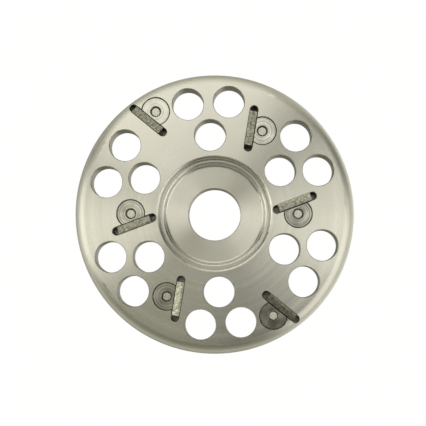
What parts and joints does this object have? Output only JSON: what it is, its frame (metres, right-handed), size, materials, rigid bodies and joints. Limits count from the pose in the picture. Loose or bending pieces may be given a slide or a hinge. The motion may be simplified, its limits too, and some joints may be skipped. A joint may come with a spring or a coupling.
{
  "type": "face-milling disc with clamped knives",
  "caption": "Flat aluminium milling disc with a recessed hub, through holes and carbide knives, each held in a slot by a screw-drawn wedge.",
  "frame": {"origin": "centre of the bore on the hub's back seat, which is the lowest face", "axes": "+Z along the bore axis, from the back seat towards the cutting face; +X through the clamp screw of knife 1"},
  "size_m": [0.1194, 0.1194, 0.0088],
  "materials": {
    "turned_aluminium": "turned, satin",
    "knife_carbide": "ground carbide",
    "wedge_steel": "faced steel",
    "screw_steel": "bright zinc"
  },
  "bodies": {
    "disc": {"disc_body": "turned_aluminium"},
    "knife_1": {"knife_1": "knife_carbide"},
    "clamp_wedge_1": {"clamp_wedge_1": "wedge_steel"},
    "clamp_screw_1": {"clamp_screw_1": "screw_steel"},
    "knife_2": {"knife_2": "knife_carbide"},
    "clamp_wedge_2": {"clamp_wedge_2": "wedge_steel"},
    "clamp_screw_2": {"clamp_screw_2": "screw_steel"},
    "knife_3": {"knife_3": "knife_carbide"},
    "clamp_wedge_3": {"clamp_wedge_3": "wedge_steel"},
    "clamp_screw_3": {"clamp_screw_3": "screw_steel"},
    "knife_4": {"knife_4": "knife_carbide"},
    "clamp_wedge_4": {"clamp_wedge_4": "wedge_steel"},
    "clamp_screw_4": {"clamp_screw_4": "screw_steel"},
    "knife_5": {"knife_5": "knife_carbide"},
    "clamp_wedge_5": {"clamp_wedge_5": "wedge_steel"},
    "clamp_screw_5": {"clamp_screw_5": "screw_steel"},
    "knife_6": {"knife_6": "knife_carbide"},
    "clamp_wedge_6": {"clamp_wedge_6": "wedge_steel"},
    "clamp_screw_6": {"clamp_screw_6": "screw_steel"}
  },
  "joints": [
    {"name": "clamp_screw_1_turn", "type": "hinge", "parent": "disc", "child": "clamp_screw_1", "pos_m": [0.0354, 0, 0.0046], "axis": [0, 0, -1], "range_deg": [0, 900]},
    {"name": "clamp_wedge_1_lift", "type": "slide", "parent": "disc", "child": "clamp_wedge_1", "axis": [0, 0, 1], "range_m": [0, 0.002]},
    {"name": "knife_1_lift", "type": "slide", "parent": "disc", "child": "knife_1", "axis": [0, 0, 1], "range_m": [0, 0.0048]},
    {"name": "clamp_screw_2_turn", "type": "hinge", "parent": "disc", "child": "clamp_screw_2", "pos_m": [0.0202, 0.03499, 0.0046], "axis": [0, 0, -1], "range_deg": [0, 900]},
    {"name": "clamp_wedge_2_lift", "type": "slide", "parent": "disc", "child": "clamp_wedge_2", "axis": [0, 0, 1], "range_m": [0, 0.002]},
    {"name": "knife_2_lift", "type": "slide", "parent": "disc", "child": "knife_2", "axis": [0, 0, 1], "range_m": [0, 0.0048]},
    {"name": "clamp_screw_3_turn", "type": "hinge", "parent": "disc", "child": "clamp_screw_3", "pos_m": [-0.0249, 0.04313, 0.0046], "axis": [0, 0, -1], "range_deg": [0, 900]},
    {"name": "clamp_wedge_3_lift", "type": "slide", "parent": "disc", "child": "clamp_wedge_3", "axis": [0, 0, 1], "range_m": [0, 0.002]},
    {"name": "knife_3_lift", "type": "slide", "parent": "disc", "child": "knife_3", "axis": [0, 0, 1], "range_m": [0, 0.0048]},
    {"name": "clamp_screw_4_turn", "type": "hinge", "parent": "disc", "child": "clamp_screw_4", "pos_m": [-0.0354, 0, 0.0046], "axis": [0, 0, -1], "range_deg": [0, 900]},
    {"name": "clamp_wedge_4_lift", "type": "slide", "parent": "disc", "child": "clamp_wedge_4", "axis": [0, 0, 1], "range_m": [0, 0.002]},
    {"name": "knife_4_lift", "type": "slide", "parent": "disc", "child": "knife_4", "axis": [0, 0, 1], "range_m": [0, 0.0048]},
    {"name": "clamp_screw_5_turn", "type": "hinge", "parent": "disc", "child": "clamp_screw_5", "pos_m": [-0.0202, -0.03499, 0.0046], "axis": [0, 0, -1], "range_deg": [0, 900]},
    {"name": "clamp_wedge_5_lift", "type": "slide", "parent": "disc", "child": "clamp_wedge_5", "axis": [0, 0, 1], "range_m": [0, 0.002]},
    {"name": "knife_5_lift", "type": "slide", "parent": "disc", "child": "knife_5", "axis": [0, 0, 1], "range_m": [0, 0.0048]},
    {"name": "clamp_screw_6_turn", "type": "hinge", "parent": "disc", "child": "clamp_screw_6", "pos_m": [0.0249, -0.04313, 0.0046], "axis": [0, 0, -1], "range_deg": [0, 900]},
    {"name": "clamp_wedge_6_lift", "type": "slide", "parent": "disc", "child": "clamp_wedge_6", "axis": [0, 0, 1], "range_m": [0, 0.002]},
    {"name": "knife_6_lift", "type": "slide", "parent": "disc", "child": "knife_6", "axis": [0, 0, 1], "range_m": [0, 0.0048]}
  ],
  "couplings": [
    {"joint": "clamp_screw_1_turn", "follows": "clamp_wedge_1_lift", "rad_per_m": 7854},
    {"joint": "clamp_screw_2_turn", "follows": "clamp_wedge_2_lift", "rad_per_m": 7854},
    {"joint": "clamp_screw_3_turn", "follows": "clamp_wedge_3_lift", "rad_per_m": 7854},
    {"joint": "clamp_screw_4_turn", "follows": "clamp_wedge_4_lift", "rad_per_m": 7854},
    {"joint": "clamp_screw_5_turn", "follows": "clamp_wedge_5_lift", "rad_per_m": 7854},
    {"joint": "clamp_screw_6_turn", "follows": "clamp_wedge_6_lift", "rad_per_m": 7854}
  ]
}
